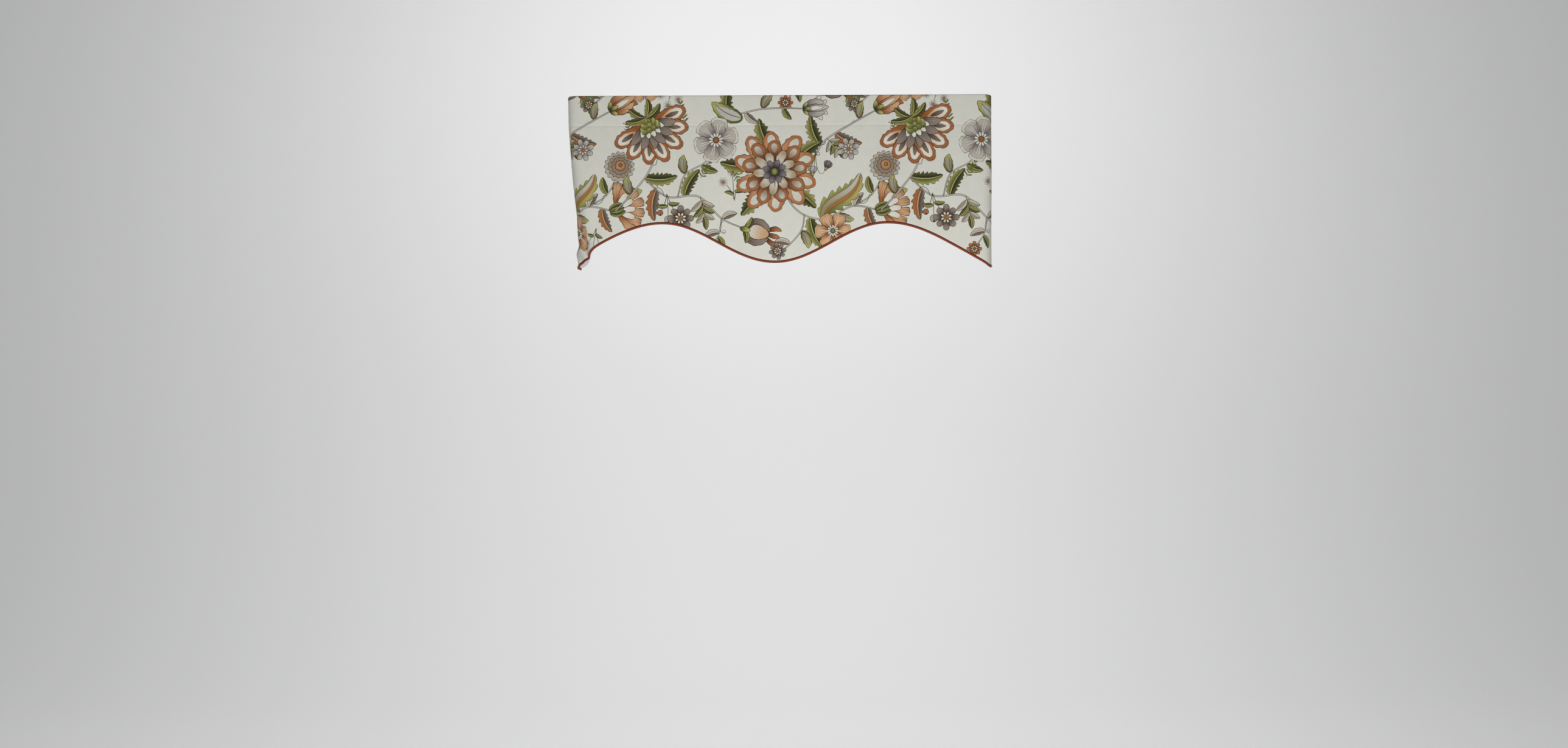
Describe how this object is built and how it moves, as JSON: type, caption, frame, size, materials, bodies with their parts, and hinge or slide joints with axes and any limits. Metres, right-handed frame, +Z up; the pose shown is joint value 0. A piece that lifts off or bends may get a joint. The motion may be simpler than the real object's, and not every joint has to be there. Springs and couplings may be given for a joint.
{
  "type": "window valance",
  "caption": "Flat shaped window valance of floral-printed cloth with a rod pocket, returns at both ends, a pale lining and a contrast welt along its wavy lower edge.",
  "frame": {"origin": "middle of the top edge, on the front of the cloth", "axes": "+X to the right as seen from the room, along the top edge; +Y towards the wall; +Z up"},
  "size_m": [1.101, 0.1427, 0.446],
  "materials": {
    "printed_cloth": "printed cotton-linen furnishing cloth, ivory ground with rust, brown and green flowers, matt",
    "lining_cloth": "plain pale cotton lining, matt",
    "welt_cloth": "rust-red woven cloth over a cotton cord, matt"
  },
  "bodies": {
    "root": {"face_panel": "printed_cloth", "rod_pocket": "printed_cloth", "lining": "lining_cloth", "welt_cord": "welt_cloth"}
  },
  "joints": []
}
